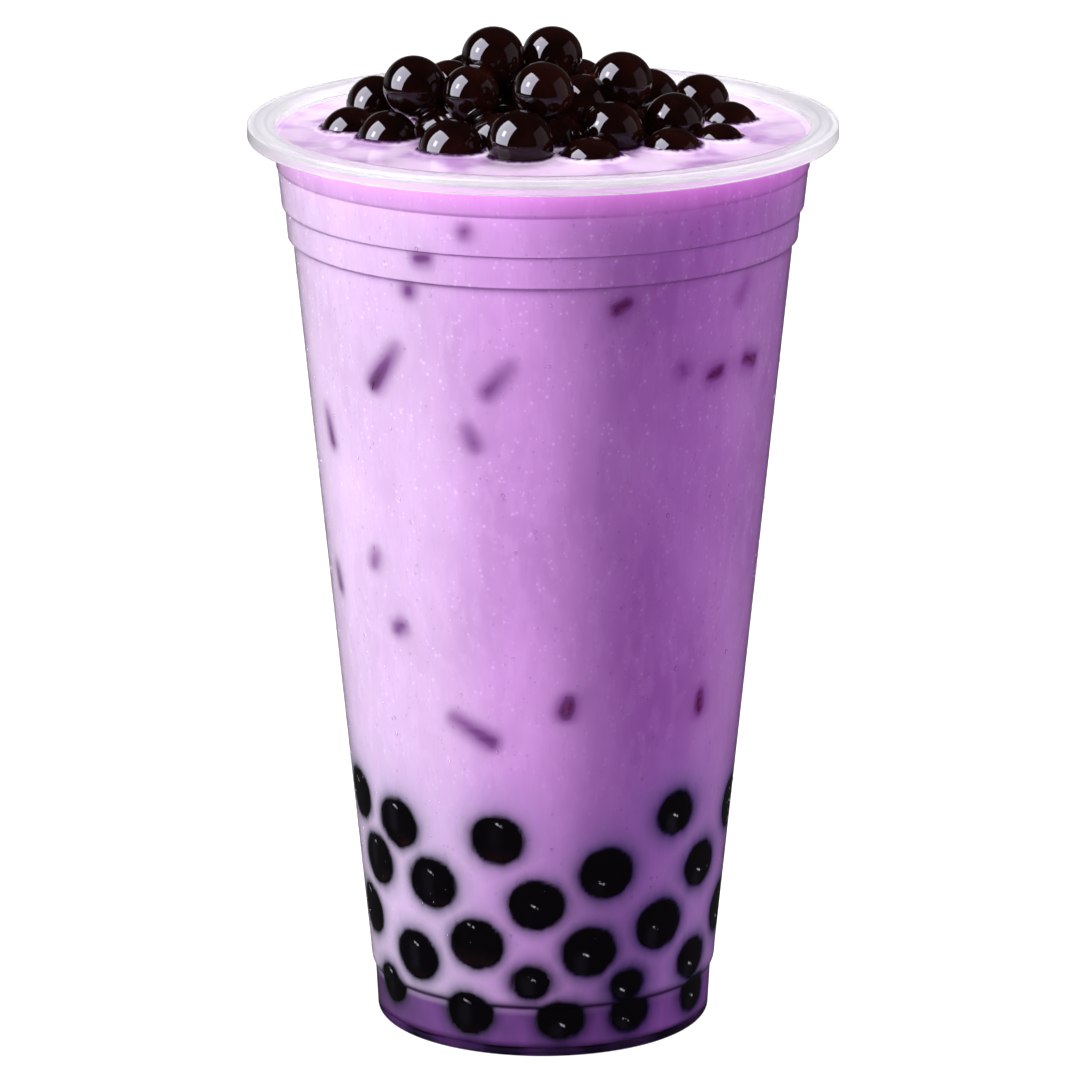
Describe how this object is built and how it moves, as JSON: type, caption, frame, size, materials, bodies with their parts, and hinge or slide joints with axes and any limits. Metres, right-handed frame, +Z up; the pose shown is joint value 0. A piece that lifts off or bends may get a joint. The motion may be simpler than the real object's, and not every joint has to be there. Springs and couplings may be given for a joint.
{
  "type": "bubble tea",
  "caption": "Taro milk tea in a clear tapered plastic cup with a film-seal rim, filled to the brim, dark tapioca pearls heaped on top and sunk at the bottom.",
  "frame": {"origin": "on the axis of the cup, at the level of its foot", "axes": "+Z up along the cup's axis, -Y towards the viewer of the picture, +X to the viewer's right"},
  "size_m": [0.095, 0.095, 0.1644],
  "materials": {
    "clear_cup": "clear moulded polypropylene, faintly milky, with fine condensation",
    "taro_milk": "opaque lilac milk tea, wet on top, paler where lit",
    "tapioca": "near-black brown cooked tapioca under a clear syrup gloss"
  },
  "bodies": {
    "root": {"cup": "clear_cup", "drink": "taro_milk", "pearl_heap": "tapioca"}
  },
  "joints": []
}
